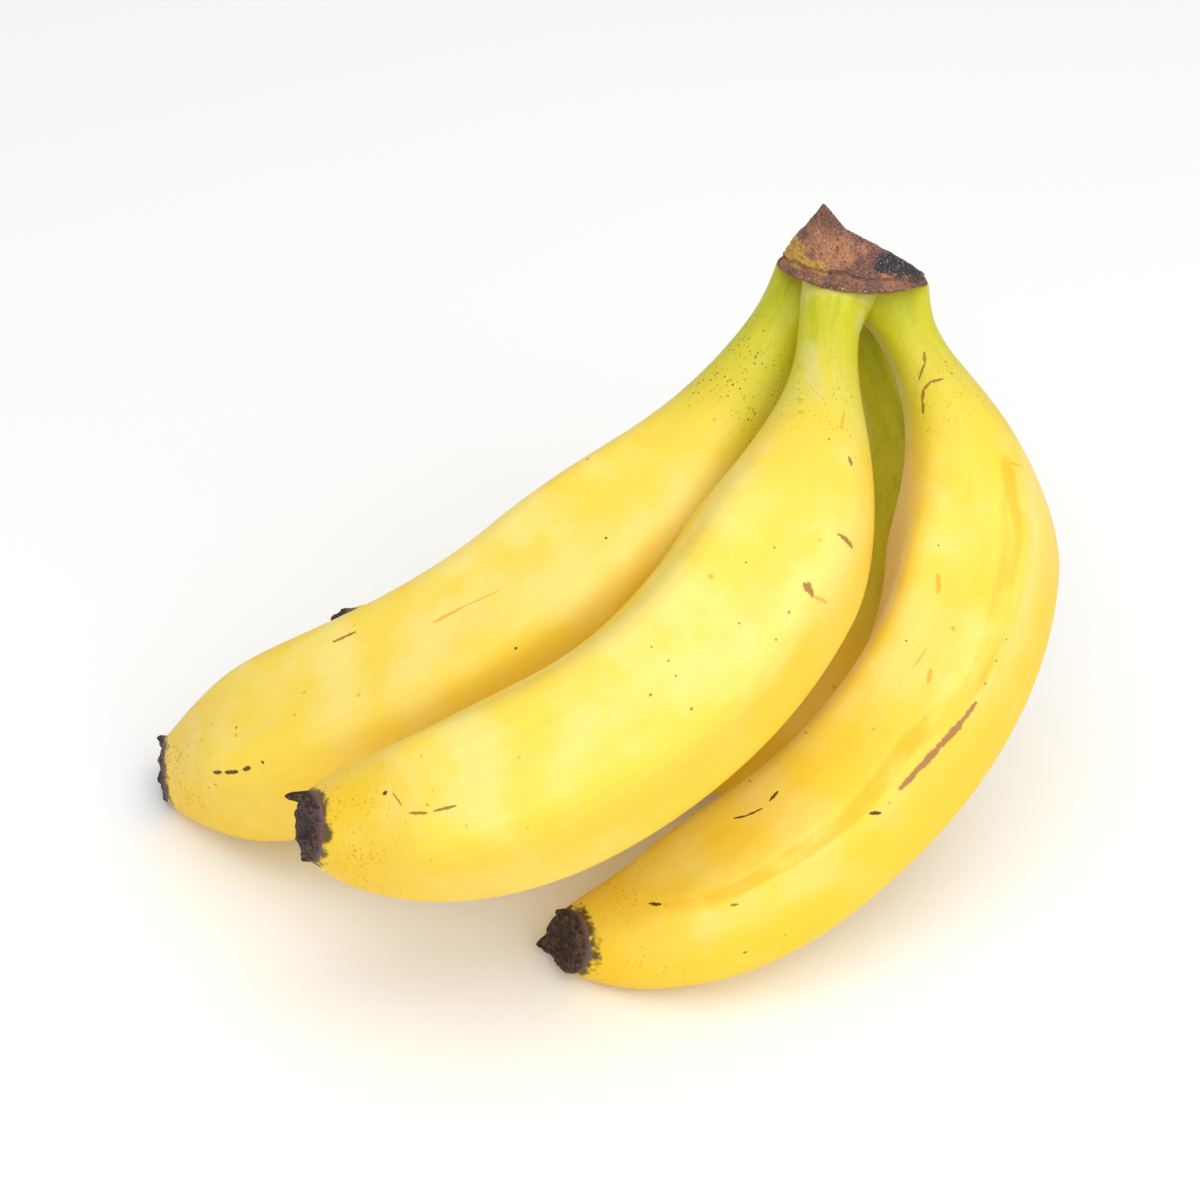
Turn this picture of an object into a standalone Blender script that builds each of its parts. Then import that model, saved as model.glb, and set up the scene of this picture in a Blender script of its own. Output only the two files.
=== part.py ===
"""A hand of four bananas on a cut crown, lying on a flat surface.

Three bananas make the outer row: left, middle and right. The fourth is the banana of the
inner row, under the others. The left, right and inner bananas touch the surface z = 0.
Lengths are in metres and +Z is up.
"""
import math

import bmesh
import bpy
import numpy as np
from mathutils import Vector

# Each banana: neck is where it leaves the crown, tip is the middle of its blossom end,
# roll turns its bend about the line between the two, bend is the whole turn of its axis,
# radius is its half thickness, late moves the bend towards the tip (above 0) or the neck,
# slim is where along its length the slim neck ends and shoulder where it is full, ridge is the
# angle of one of its five ridges at mid length, from the outside of the bend, and twist turns
# them along the length. seat draws the top of the neck to its place on the crown, to the right
# and to the back, and swerve draws the axis aside, most at the share peak of its length.
LEFT = dict(neck=(0.0461, 0.0489, 0.1047), tip=(-0.0869, 0.0086, 0.0073), roll=-0.8, bend=75.0,
            radius=0.0202, late=-0.109, slim=0.025, shoulder=0.445, ridge=38.0, twist=50.0,
            seat=(-0.0012, 0.0012), swerve=(-0.0020, 0.0001, 0.0010), peak=0.80)
MIDDLE = dict(neck=(0.0489, 0.0344, 0.1095), tip=(-0.0518, -0.0459, 0.0469), roll=-4.7, bend=96.5,
              radius=0.0181, late=-0.101, slim=0.049, shoulder=0.344, ridge=36.0, twist=15.0,
              seat=(0.0009, -0.0008), swerve=(-0.0008, -0.0002, -0.0021), peak=0.25)
RIGHT = dict(neck=(0.0583, 0.0440, 0.1072), tip=(-0.0014, -0.0405, 0.0083), roll=-14.1, bend=120.0,
             radius=0.0164, late=-0.215, slim=0.061, shoulder=0.353, ridge=69.0, twist=72.0,
             seat=(0.0045, -0.0005), swerve=(-0.0001, 0.0047, 0.0030), peak=0.60)
INNER = dict(neck=(0.0557, 0.0500, 0.0949), tip=(-0.0501, 0.0298, 0.0257), roll=-53.1, bend=129.7,
             radius=0.0166, late=-0.947, slim=0.070, shoulder=0.260, ridge=36.0, twist=30.0,
             seat=(0.0094, 0.0018), swerve=(0.0067, -0.0005, -0.0124), peak=0.37)
BANANAS = {"left": LEFT, "middle": MIDDLE, "right": RIGHT, "inner": INNER}

# Thickness along a banana, as shares of its length and of its radius
NECK_SHARE = 0.33
TAPER_START = 0.72
TAPER_END = 1.025
NECK_RUN_IN = 0.022
NECK_RUN_RINGS = 8
SEAT_DEPTH = 0.013

# Five-sided cross-section
SIDES = 5
CORNER_POWER = 6.0
FLAT_SHARE = 0.955
RIDGES_RISE = (0.12, 0.35)
RIDGES_FADE = (0.85, 1.0)

# Mesh fineness of a banana
RINGS = 32
POINTS_AROUND = 20

# Crown: a wedge on the plane that the necks meet, tilted back and leaning to the right
CROWN_CENTRE = (0.0541, 0.0471, 0.1081)
CROWN_TILT = math.radians(30.0)
CROWN_LEAN = math.radians(7.7)
CROWN_HALF_WIDTH = 0.0146
CROWN_HALF_DEPTH = 0.0180
CROWN_SQUARENESS = 2.5
CROWN_HEIGHT = 0.018
CROWN_PEAK = (-0.0085, 0.0125)
CROWN_STEP = (-0.0040, 0.0077)
CROWN_LEFT_EDGE = 0.0014
CROWN_RIGHT_EDGE = 0.0013
CROWN_CUT_FALL = 0.1228
CROWN_POINTS_AROUND = 32
JOINT_GAP = 0.0003

# Dried blossom ends
BLOSSOM_SHARE = 0.94
BLOSSOM_HEIGHT = 0.0050
BLOSSOM_POINTS = 14
BLOSSOM_RINGS = ((0.0, 1.0, 0.0), (0.25, 0.98, 0.03), (0.6, 0.84, 0.08), (1.0, 0.55, 0.14))

COLLECTION_NAME = "banana_hand"


def clear_scene():
    for item in list(bpy.data.objects):
        bpy.data.objects.remove(item, do_unlink=True)


def make_collection(name):
    collection = bpy.data.collections.new(name)
    bpy.context.scene.collection.children.link(collection)
    return collection


def make_material(name, colour, roughness):
    material = bpy.data.materials.new(name)
    material.use_nodes = True
    shader = material.node_tree.nodes["Principled BSDF"]
    shader.inputs["Base Color"].default_value = (*colour, 1.0)
    shader.inputs["Roughness"].default_value = roughness
    shader.inputs["Metallic"].default_value = 0.0
    return material


def peel_material():
    return make_material("peel", (0.86, 0.66, 0.10), 0.45)


def crown_material():
    return make_material("crown", (0.17, 0.08, 0.04), 0.85)


def blossom_material():
    return make_material("blossom", (0.04, 0.028, 0.022), 0.9)


def smooth_step(start, end, x):
    """0 before start, 1 after end and an even S between them."""
    share = np.clip((x - start) / (end - start), 0.0, 1.0)
    return share * share * (3.0 - 2.0 * share)


def half_thickness(banana, t):
    """The slim neck, the full body and the rounded taper to the blossom end."""
    neck = NECK_SHARE + (1.0 - NECK_SHARE) * smooth_step(banana["slim"], banana["shoulder"], t)
    taper = np.clip((t - TAPER_START) / (TAPER_END - TAPER_START), 0.0, 1.0)
    return banana["radius"] * neck * np.sqrt(1.0 - taper ** 2)


def bend_axis(banana, t):
    """Points, directions and outward normals of the bent axis at the shares t of its length.

    The axis lies in one plane. It turns little at the neck and then steadily, and it is
    sized and placed so that its ends are the banana's neck and tip. It is then drawn aside
    by swerve times the squared sine of pi t to a power, which is 1 at the share peak.
    """
    weight = 0.35 + 0.65 * smooth_step(0.06, 0.24, t)
    weight = weight * (1.0 + banana["late"] * (2.0 * t - 1.0))
    turned = np.concatenate([[0.0], np.cumsum((weight[1:] + weight[:-1]) / 2.0)])
    angle = math.radians(banana["bend"]) * turned / turned[-1]
    x = np.concatenate([[0.0], np.cumsum((np.cos(angle[1:]) + np.cos(angle[:-1])) / 2.0)])
    y = np.concatenate([[0.0], np.cumsum((np.sin(angle[1:]) + np.sin(angle[:-1])) / 2.0)])
    chord_angle = math.atan2(y[-1], x[-1])
    chord_length = math.hypot(x[-1], y[-1])
    neck = np.array(banana["neck"])
    chord = np.array(banana["tip"]) - neck
    length = np.linalg.norm(chord)
    chord = chord / length
    level = np.cross([0.0, 0.0, 1.0], chord)
    level = level / np.linalg.norm(level)
    upright = np.cross(level, chord)
    if upright[2] < 0.0:
        upright = -upright
    roll = math.radians(banana["roll"])
    bulge = math.cos(roll) * level + math.sin(roll) * upright
    along = (x * math.cos(chord_angle) + y * math.sin(chord_angle)) * length / chord_length
    out = (x * math.sin(chord_angle) - y * math.cos(chord_angle)) * length / chord_length
    points = neck + along[:, None] * chord + out[:, None] * bulge
    rest = chord_angle - angle
    normals = np.cos(rest)[:, None] * bulge - np.sin(rest)[:, None] * chord
    power = math.log(0.5) / math.log(banana["peak"])
    points = points + (np.sin(math.pi * t ** power) ** 2)[:, None] * np.array(banana["swerve"])
    steps = np.gradient(points, axis=0)
    directions = steps / np.linalg.norm(steps, axis=1, keepdims=True)
    normals = normals - (normals * directions).sum(axis=1, keepdims=True) * directions
    normals = normals / np.linalg.norm(normals, axis=1, keepdims=True)
    return points, directions, normals


def five_sided(angle, strength):
    """Radius factor of a rounded pentagon with a corner at angle 0.

    It fades to a circle as strength falls.
    """
    total = np.zeros(np.broadcast(angle, strength).shape)
    for side in range(SIDES):
        reach = np.maximum(np.cos(angle - (2.0 * side + 1.0) * math.pi / SIDES), 0.0)
        total = total + reach ** CORNER_POWER
    pentagon = FLAT_SHARE * total ** (-1.0 / CORNER_POWER)
    return 1.0 + strength * (pentagon - 1.0)


def crown_axes():
    """The middle of the crown's underside and its right, back and up directions."""
    up = np.array((0.0, math.sin(CROWN_TILT), math.cos(CROWN_TILT)))
    right = np.array((1.0, 0.0, 0.0))
    back = np.cross(up, right)
    tipped = math.cos(CROWN_LEAN) * up + math.sin(CROWN_LEAN) * right
    right = math.cos(CROWN_LEAN) * right - math.sin(CROWN_LEAN) * up
    return np.array(CROWN_CENTRE), right, back, tipped


def seated(points, banana):
    """Points drawn aside to the neck's seat, by the square of their height over SEAT_DEPTH."""
    centre, right, back, up = crown_axes()
    share = np.clip(1.0 + ((points - centre) @ up) / SEAT_DEPTH, 0.0, 1.0) ** 2
    move = banana["seat"][0] * right + banana["seat"][1] * back
    return points + share[..., None] * move


def banana_rings(banana):
    """Rings of points from above the crown's underside to the blossom end."""
    fine = np.linspace(0.0, 1.0, 241)
    points, directions, normals = bend_axis(banana, fine)
    picks = np.linspace(0, 240, RINGS).round().astype(int)
    t = fine[picks]
    points, directions, normals = points[picks], directions[picks], normals[picks]
    back = NECK_RUN_IN * np.linspace(1.0, 0.0, NECK_RUN_RINGS, endpoint=False)
    points = np.vstack([points[:1] - back[:, None] * directions[:1], points])
    directions = np.vstack([np.repeat(directions[:1], NECK_RUN_RINGS, axis=0), directions])
    normals = np.vstack([np.repeat(normals[:1], NECK_RUN_RINGS, axis=0), normals])
    t = np.concatenate([np.zeros(NECK_RUN_RINGS), t])
    radius = half_thickness(banana, t)[:, None]
    sideways = np.cross(directions, normals)
    turn = 2.0 * math.pi * np.arange(POINTS_AROUND)[None, :] / POINTS_AROUND
    strength = (smooth_step(*RIDGES_RISE, t) * (1.0 - 0.8 * smooth_step(*RIDGES_FADE, t)))[:, None]
    corner = np.radians(banana["ridge"] + banana["twist"] * (t - 0.5))[:, None]
    reach = radius * five_sided(turn - corner, strength)
    offset = np.cos(turn)[:, :, None] * normals[:, None, :]
    offset = offset + np.sin(turn)[:, :, None] * sideways[:, None, :]
    return seated(points[:, None, :] + reach[:, :, None] * offset, banana)


def loft(rings):
    """A closed body over rings of equal point count, with a flat face at each end."""
    body = bmesh.new()
    count, around = rings.shape[:2]
    verts = [[body.verts.new(point) for point in ring] for ring in rings.tolist()]
    for row in range(count - 1):
        for step in range(around):
            after = (step + 1) % around
            body.faces.new((verts[row][step], verts[row][after],
                            verts[row + 1][after], verts[row + 1][step]))
    body.faces.new(list(reversed(verts[0])))
    body.faces.new(verts[-1])
    return body


def cut_off(body, point, normal):
    """Removes what lies on the normal's side of a plane and closes the cut with a flat face."""
    everything = body.verts[:] + body.edges[:] + body.faces[:]
    bmesh.ops.bisect_plane(body, geom=everything, dist=1e-7, plane_co=point, plane_no=normal,
                           clear_outer=True)
    rim = [edge for edge in body.edges if edge.is_boundary]
    if rim:
        bmesh.ops.holes_fill(body, edges=rim, sides=0)


def finish(name, body, material, collection):
    """Makes the named object, faces outward and round shapes shaded smooth."""
    bmesh.ops.remove_doubles(body, verts=body.verts[:], dist=0.00002)
    bmesh.ops.recalc_face_normals(body, faces=body.faces[:])
    mesh = bpy.data.meshes.new(name)
    body.to_mesh(mesh)
    body.free()
    mesh.shade_smooth()
    mesh.set_sharp_from_angle(angle=math.radians(50.0))
    mesh.materials.append(material)
    item = bpy.data.objects.new(name, mesh)
    collection.objects.link(item)
    return item


def make_banana(key, material, collection):
    body = loft(banana_rings(BANANAS[key]))
    centre, _, _, up = crown_axes()
    cut_off(body, Vector(centre - up * (JOINT_GAP / 2.0)), Vector(up))
    cut_off(body, Vector((0.0, 0.0, 0.0)), Vector((0.0, 0.0, -1.0)))
    return finish("banana_" + key, body, material, collection)


def crown_block():
    """A short block on the underside plane, oval and a little swollen above its foot."""
    centre, right, back, up = crown_axes()
    turn = 2.0 * math.pi * np.arange(CROWN_POINTS_AROUND) / CROWN_POINTS_AROUND
    power = 2.0 / CROWN_SQUARENESS
    across = np.sign(np.cos(turn)) * np.abs(np.cos(turn)) ** power * CROWN_HALF_WIDTH
    deep = np.sign(np.sin(turn)) * np.abs(np.sin(turn)) ** power * CROWN_HALF_DEPTH
    rings = []
    for share, size in ((0.0, 0.97), (0.1, 1.0), (0.25, 1.01), (0.55, 0.95), (1.0, 0.82)):
        height = JOINT_GAP / 2.0 + share * CROWN_HEIGHT
        offset = across[:, None] * right + deep[:, None] * back
        rings.append(centre + height * up + size * offset)
    return loft(np.array(rings))


def crown_profile():
    """The prism of the crown's outline seen from the front: peak, step and knife cut.

    Its faces fall towards the back, by CROWN_CUT_FALL for each length of depth.
    """
    centre, right, back, up = crown_axes()
    half = CROWN_HALF_WIDTH
    foot = -0.5 * CROWN_HALF_DEPTH
    outline = [(-half * 1.14, foot), (half * 1.14, foot), (half * 1.14, 0.0),
               (half, CROWN_RIGHT_EDGE), CROWN_STEP, CROWN_PEAK, (-half, CROWN_LEFT_EDGE)]
    ends = []
    for depth in (1.3 * CROWN_HALF_DEPTH, -1.3 * CROWN_HALF_DEPTH):
        start = centre + depth * (back - CROWN_CUT_FALL * up)
        ends.append([start + right * x + up * height for x, height in outline])
    return loft(np.array(ends))


def make_crown(material, collection, cutters):
    """The block kept where it lies inside the profile."""
    crown = finish("crown", crown_block(), material, collection)
    profile = finish("crown_outline", crown_profile(), material, cutters)
    profile.hide_render = True
    profile.display_type = "WIRE"
    keep = crown.modifiers.new("outline", "BOOLEAN")
    keep.operation = "INTERSECT"
    keep.solver = "EXACT"
    keep.object = profile
    return crown


def make_blossom(key, material, collection):
    """A dry stub on the blossom end, narrower and lumpy towards its top."""
    banana = BANANAS[key]
    points, directions, normals = bend_axis(banana, np.linspace(0.0, 1.0, 241))
    direction, normal = directions[-1], normals[-1]
    sideways = np.cross(direction, normal)
    radius = half_thickness(banana, np.array([1.0]))[0] * BLOSSOM_SHARE
    turn = 2.0 * math.pi * np.arange(BLOSSOM_POINTS) / BLOSSOM_POINTS
    rings = []
    for share, size, lump in BLOSSOM_RINGS:
        reach = radius * size * (1.0 + lump * np.cos(3.0 * turn + 0.7))
        centre = points[-1] + direction * (JOINT_GAP + share * BLOSSOM_HEIGHT)
        offset = np.cos(turn)[:, None] * normal + np.sin(turn)[:, None] * sideways
        rings.append(centre + reach[:, None] * offset)
    return finish("blossom_" + key, loft(np.array(rings)), material, collection)


def main():
    clear_scene()
    collection = make_collection(COLLECTION_NAME)
    cutters = make_collection("cutters")
    peel = peel_material()
    crown = crown_material()
    blossom = blossom_material()
    for key in BANANAS:
        make_banana(key, peel, collection)
        make_blossom(key, blossom, collection)
    make_crown(crown, collection, cutters)


main()
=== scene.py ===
"""A hand of four ripe bananas on a dry cut crown, lying on a pale floor.

Each banana, each blossom end and the crown is one closed grid surface worked out with
numpy in place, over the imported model. Lengths are in metres and +Z is up.
"""
import math

import bpy
import numpy as np
from bpy.props import FloatProperty, FloatVectorProperty, IntProperty, PointerProperty
from bpy.types import Operator, Panel, PropertyGroup
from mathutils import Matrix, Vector


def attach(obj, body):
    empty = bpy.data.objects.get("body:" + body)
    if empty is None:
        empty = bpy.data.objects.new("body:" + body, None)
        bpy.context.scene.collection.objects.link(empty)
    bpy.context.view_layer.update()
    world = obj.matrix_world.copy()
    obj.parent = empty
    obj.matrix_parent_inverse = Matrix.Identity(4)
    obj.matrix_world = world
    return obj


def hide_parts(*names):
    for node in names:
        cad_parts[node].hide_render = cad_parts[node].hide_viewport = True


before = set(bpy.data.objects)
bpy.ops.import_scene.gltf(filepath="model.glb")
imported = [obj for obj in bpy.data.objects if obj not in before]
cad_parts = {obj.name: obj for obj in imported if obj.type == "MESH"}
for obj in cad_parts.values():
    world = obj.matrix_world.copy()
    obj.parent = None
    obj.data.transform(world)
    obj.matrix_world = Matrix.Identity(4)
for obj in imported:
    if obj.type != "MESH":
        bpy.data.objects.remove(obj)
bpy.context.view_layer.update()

bl_info = {
    "name": "Hand of bananas",
    "version": (1, 0, 0),
    "blender": (4, 5, 0),
    "location": "3D View > Sidebar > Bananas",
    "description": "Makes a hand of four bananas with its crown, blossom ends and stage",
    "category": "Object",
}

# Each banana: neck and tip are the ends of its axis, roll turns its bend about the line
# between them, bend is the whole turn, radius the half thickness, late moves the bend to the
# tip, slim and shoulder are where the neck ends and where it is full, ridge and twist place
# its five ridges, seat is how far its neck is drawn aside where it meets the crown, to the
# right and to the back, and swerve draws the axis aside, most at the share peak of its length.
# Slant is the slope by which its end is cut back on the side of END_SIDE, short how far its
# whole end is drawn back, and taper where its tip starts to narrow.
LEFT = dict(
    neck=(0.0461, 0.0489, 0.1047), tip=(-0.0869, 0.0086, 0.0073), roll=-0.8, bend=75.0,
    radius=0.0202, late=-0.109, slim=0.025, shoulder=0.445, ridge=41.0, twist=32.0,
    seat=(-0.0012, 0.0012), swerve=(-0.002, 0.0001, 0.001), peak=0.8, slant=0.85, short=0.0,
    taper=0.64)
MIDDLE = dict(
    neck=(0.0489, 0.0344, 0.1095), tip=(-0.0518, -0.0459, 0.0469), roll=-4.7, bend=96.5,
    radius=0.0181, late=-0.101, slim=0.049, shoulder=0.344, ridge=36.0, twist=15.0,
    seat=(0.0009, -0.0008), swerve=(-0.0008, -0.0002, -0.0021), peak=0.25, slant=0.85,
    short=0.0015, taper=0.69)
RIGHT = dict(
    neck=(0.0583, 0.044, 0.1072), tip=(-0.0014, -0.0405, 0.0083), roll=-14.1, bend=120.0,
    radius=0.0164, late=-0.215, slim=0.061, shoulder=0.353, ridge=64.0, twist=76.0,
    seat=(0.0045, -0.0005), swerve=(-0.0001, 0.0047, 0.003), peak=0.6, slant=0.8, short=0.0,
    taper=0.72)
INNER = dict(
    neck=(0.0557, 0.05, 0.0949), tip=(-0.0501, 0.0298, 0.0257), roll=-53.1, bend=129.7,
    radius=0.0166, late=-0.947, slim=0.07, shoulder=0.26, ridge=36.0, twist=30.0,
    seat=(0.0094, 0.0018), swerve=(0.0067, -0.0005, -0.0124), peak=0.37, slant=0.0, short=0.0,
    taper=0.72)
BANANAS = {"left": LEFT, "middle": MIDDLE, "right": RIGHT, "inner": INNER}
END_SIDE = (0.0, -0.743, 0.669)

# How much a neck bends against the body, and the shares of the length over which that grows
NECK_BEND = 0.35
BEND_RISE = (0.06, 0.24)

# The neck's thickness as a share of the radius, and the shares of the length at which the
# taper would end and the slanted end sets in
NECK_SHARE = 0.33
TAPER_END = 1.025
SLANT_SHARES = (0.8, 1.0)

# Depths below the crown's underside to which necks are drawn aside and grown together, the
# share of the length that can be grown together, how far the necks' tops stand in the crown,
# and their rings there
SEAT_DEPTH = 0.013
WEB_DEPTH = 0.02
WEB_SHARE = 0.25
NECK_TOP = 0.0002
NECK_RINGS = 24

# Rings over a banana's far end: their shares of its last ring and how far they stand out
CAP_SHARES = (0.97, 0.86, 0.6, 0.3)
CAP_HEIGHTS = (0.00035, 0.0006, 0.0007, 0.0007)

# The two necks that stay grown together furthest down, and how much further than the others
JOINED = {"middle", "right"}
JOINED_WEB = 2.2

# Five-sided cross-section
SIDES = 5
CORNER_POWER = 9.0
FLAT_SHARE = 0.94
RIDGES_RISE = (0.12, 0.35)
RIDGES_FADE = (0.85, 1.0)

# The crown's underside: its middle, its tilt back and its lean to the right
CROWN_CENTRE = (0.0541, 0.0471, 0.1081)
CROWN_TILT = math.radians(30.0)
CROWN_LEAN = math.radians(7.7)
CROWN_HALF_WIDTH = 0.0144
CROWN_HALF_DEPTH = 0.0182
CROWN_NARROWING = 7.0
CROWN_FOOT = (-0.003, -0.0023, 0.014)

# The crown's cut faces: corners of its outline seen from the front, to the right and up, and
# how much the faces fall towards the back
CROWN_LEFT = (-0.0147, 0.0014)
CROWN_PEAK = (-0.0076, 0.0112)
CROWN_STEP = (-0.004, 0.0077)
CROWN_RIGHT = (0.0147, 0.001)
CROWN_CUT_FALL = 0.1228
CROWN_LEFT_FALL = 0.32
CROWN_INNER = (-0.001, 0.0, 0.002)
EDGE_ROUNDING = 0.00022
OVAL_POWER = 2.4
HALVINGS = 22

# The photograph's camera
CAMERA_PLACE = (0.004, -0.4516, 0.4697)
CAMERA_AIM = (0.004, 0.0701, 0.0)
CAMERA_LENS = 92.6
SENSOR_WIDTH = 36.0

# How far the floor lies below the hand, and the soft lights' target, size and places
FLOOR_DROP = 0.0002
LIGHT_TARGET = (0.0, 0.0, 0.04)
LIGHT_SIZE = 1.2
LIGHT_PLACES = {"key": (0.15, -0.4, 1.1), "fill": (0.95, -0.95, 0.55), "front": (-0.75, -1.0, 0.7)}

# Points at which an axis alone is worked out
AXIS_SHARES = np.linspace(0.0, 1.0, 241)
UPRIGHT = np.array((0.0, 0.0, 1.0))


def linear(red, green, blue):
    """The scene's linear colour for screen values from 0 to 255."""
    out = []
    for value in (red, green, blue):
        share = value / 255.0
        out.append(share / 12.92 if share <= 0.04045 else ((share + 0.055) / 1.055) ** 2.4)
    return tuple(out)


def colour(name, what, red, green, blue):
    """A colour setting, its first value given from 0 to 255 as on a screen."""
    return FloatVectorProperty(name=name, description="Colour of " + what, size=3, subtype="COLOR",
                               default=linear(red, green, blue))


def whole(name, description, default, low, high):
    """A setting that is a whole number between two limits."""
    return IntProperty(name=name, description=description, default=default, min=low, max=high)


def measure(name, description, default, unit="LENGTH"):
    """A setting in metres, or in watts for the unit of power."""
    return FloatProperty(name=name, description=description, default=default, unit=unit)


class BananaSettings(PropertyGroup):
    rings: whole("Rings", "Rings of points along a banana", 240, 40, 400)
    around: whole("Points around", "Points in each ring", 120, 20, 240)
    unevenness: measure("Unevenness", "Height of the broad dents and swells", 0.00028)
    web: measure("Web", "How far apart necks still grow together at the crown", 0.008)
    body: colour("Body", "the ripe body", 243, 213, 78)
    pale: colour("Pale body", "the paler clouds", 244, 222, 122)
    # The golden colour stands for the riper parts and also for the painted shade on the faces that
    # turn down.
    golden: colour("Golden", "the riper parts", 241, 197, 12)
    lime: colour("Neck", "the neck", 200, 196, 38)
    green: colour("Neck furrows", "the greener neck furrows", 158, 172, 18)
    brown: colour("Scars", "scars and scratches", 146, 92, 38)
    black: colour("Dots", "the darkest dots", 62, 36, 22)
    scar: colour("Long scar", "the long rubbed scar", 160, 100, 70)
    gold: colour("Ridge streaks", "the orange ridge streaks", 244, 176, 18)
    rust: colour("Rust", "rubbed and freckled peel", 222, 150, 30)
    chalk: colour("Dried sap", "the dried sap smears", 214, 212, 160)


class CrownSettings(PropertyGroup):
    around: whole("Points around", "Points round the crown's outline", 320, 60, 480)
    rings: whole("Rings", "Rings from the front of the crown to its back", 150, 30, 240)
    lip: measure("Lip", "How far the lower rim swells out", 0.0005)
    russet: colour("Cut tissue", "the dry cut tissue", 184, 126, 90)
    umber: colour("Dark tissue", "the darker dry tissue", 118, 82, 72)
    olive: colour("Fresh patch", "the patch not yet dried", 206, 160, 72)
    slate: colour("Black patch", "the blackened patch", 52, 54, 58)
    # This colour stands for the pits between the granules and also for the painted shade in the
    # crease above the rim.
    pits: colour("Pits", "the pits between the granules", 72, 46, 38)
    sap: colour("Sap specks", "the dried sap specks", 226, 208, 194)


class BlossomSettings(PropertyGroup):
    rings: whole("Rings", "Rings from the rim to the middle", 70, 12, 120)
    around: whole("Points around", "Points in each ring", 140, 24, 240)
    dark: colour("Dry black", "the driest tissue", 38, 30, 30)
    brown: colour("Dry brown", "the brown tissue", 98, 68, 50)
    plum: colour("Rim", "the rim where it meets the peel", 126, 100, 104)


class StageSettings(PropertyGroup):
    floor_colour: FloatVectorProperty(name="Floor", description="Colour of the plain floor", size=3,
                                      subtype="COLOR", default=(0.95, 0.95, 0.95))
    floor_reach: measure("Floor reach", "Half the floor's width", 12.0)
    key_power: measure("Key light", "Power of the large soft light above", 9.5, "POWER")
    fill_power: measure("Fill light", "Power of the soft light in front", 4.5, "POWER")
    front_power: measure("Front light", "Power of the weak light at the left", 2.2, "POWER")
    surround: FloatProperty(name="Surround", description="Brightness of the white surround",
                            default=0.55, min=0.0, max=4.0)


# Shapes

def smooth_step(start, end, x):
    """0 before start, 1 after end and an even S between them."""
    share = np.clip((x - start) / (end - start), 0.0, 1.0)
    return share * share * (3.0 - 2.0 * share)


def half_thickness(banana, t):
    """The slim neck, the full body and the rounded taper to the blossom end."""
    neck = NECK_SHARE + (1.0 - NECK_SHARE) * smooth_step(banana["slim"], banana["shoulder"], t)
    taper = np.clip((t - banana["taper"]) / (TAPER_END - banana["taper"]), 0.0, 1.0)
    return banana["radius"] * neck * np.sqrt(1.0 - taper ** 2)


def bend_axis(banana, t):
    """Points, directions, outward normals and length of the bent axis at even shares t.

    The axis lies in one plane. It turns little at the neck and then steadily, as the running
    sum of a weight, and it is sized and placed so that its ends are the neck and the tip.
    It is then drawn aside by swerve times the squared sine of pi t to a power, which is 1 at
    the share peak.
    """
    weight = NECK_BEND + (1.0 - NECK_BEND) * smooth_step(*BEND_RISE, t)
    weight = weight * (1.0 + banana["late"] * (2.0 * t - 1.0))
    turned = np.concatenate([[0.0], np.cumsum((weight[1:] + weight[:-1]) / 2.0)])
    angle = math.radians(banana["bend"]) * turned / turned[-1]
    x = np.concatenate([[0.0], np.cumsum((np.cos(angle[1:]) + np.cos(angle[:-1])) / 2.0)])
    y = np.concatenate([[0.0], np.cumsum((np.sin(angle[1:]) + np.sin(angle[:-1])) / 2.0)])
    chord_angle = math.atan2(y[-1], x[-1])
    neck = np.array(banana["neck"])
    chord = np.array(banana["tip"]) - neck
    scale = np.linalg.norm(chord) / math.hypot(x[-1], y[-1])
    chord = chord / np.linalg.norm(chord)
    level = np.cross(UPRIGHT, chord)
    level = level / np.linalg.norm(level)
    upright = np.cross(level, chord)
    if upright[2] < 0.0:
        upright = -upright
    roll = math.radians(banana["roll"])
    bulge = math.cos(roll) * level + math.sin(roll) * upright
    along = (x * math.cos(chord_angle) + y * math.sin(chord_angle)) * scale
    out = (x * math.sin(chord_angle) - y * math.cos(chord_angle)) * scale
    points = neck + along[:, None] * chord + out[:, None] * bulge
    rest = chord_angle - angle
    normals = np.cos(rest)[:, None] * bulge - np.sin(rest)[:, None] * chord
    power = math.log(0.5) / math.log(banana["peak"])
    points = points + (np.sin(math.pi * t ** power) ** 2)[:, None] * np.array(banana["swerve"])
    steps = np.gradient(points, axis=0)
    directions = steps / np.linalg.norm(steps, axis=1, keepdims=True)
    normals = normals - (normals * directions).sum(axis=1, keepdims=True) * directions
    normals = normals / np.linalg.norm(normals, axis=1, keepdims=True)
    return points, directions, normals, np.linalg.norm(steps, axis=1).sum()


def five_sided(angle, strength):
    """Radius factor of a rounded pentagon with a corner at angle 0, fading to a circle."""
    total = np.zeros(np.broadcast(angle, strength).shape)
    for side in range(SIDES):
        reach = np.maximum(np.cos(angle - (2.0 * side + 1.0) * math.pi / SIDES), 0.0)
        total = total + reach ** CORNER_POWER
    return 1.0 + strength * (FLAT_SHARE * total ** (-1.0 / CORNER_POWER) - 1.0)


def crown_axes():
    """The middle of the crown's underside and its right, back and up directions."""
    up = np.array((0.0, math.sin(CROWN_TILT), math.cos(CROWN_TILT)))
    right = np.array((1.0, 0.0, 0.0))
    back = np.cross(up, right)
    tipped = math.cos(CROWN_LEAN) * up + math.sin(CROWN_LEAN) * right
    right = math.cos(CROWN_LEAN) * right - math.sin(CROWN_LEAN) * up
    return np.array(CROWN_CENTRE), right, back, tipped


def seated(points, banana):
    """Points drawn sideways to the neck's seat, by the square of their height over SEAT_DEPTH."""
    centre, right, back, up = crown_axes()
    height = (points - centre) @ up
    share = np.clip(1.0 + height / SEAT_DEPTH, 0.0, 1.0) ** 2
    move = banana["seat"][0] * right + banana["seat"][1] * back
    return points + share[..., None] * move


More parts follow.
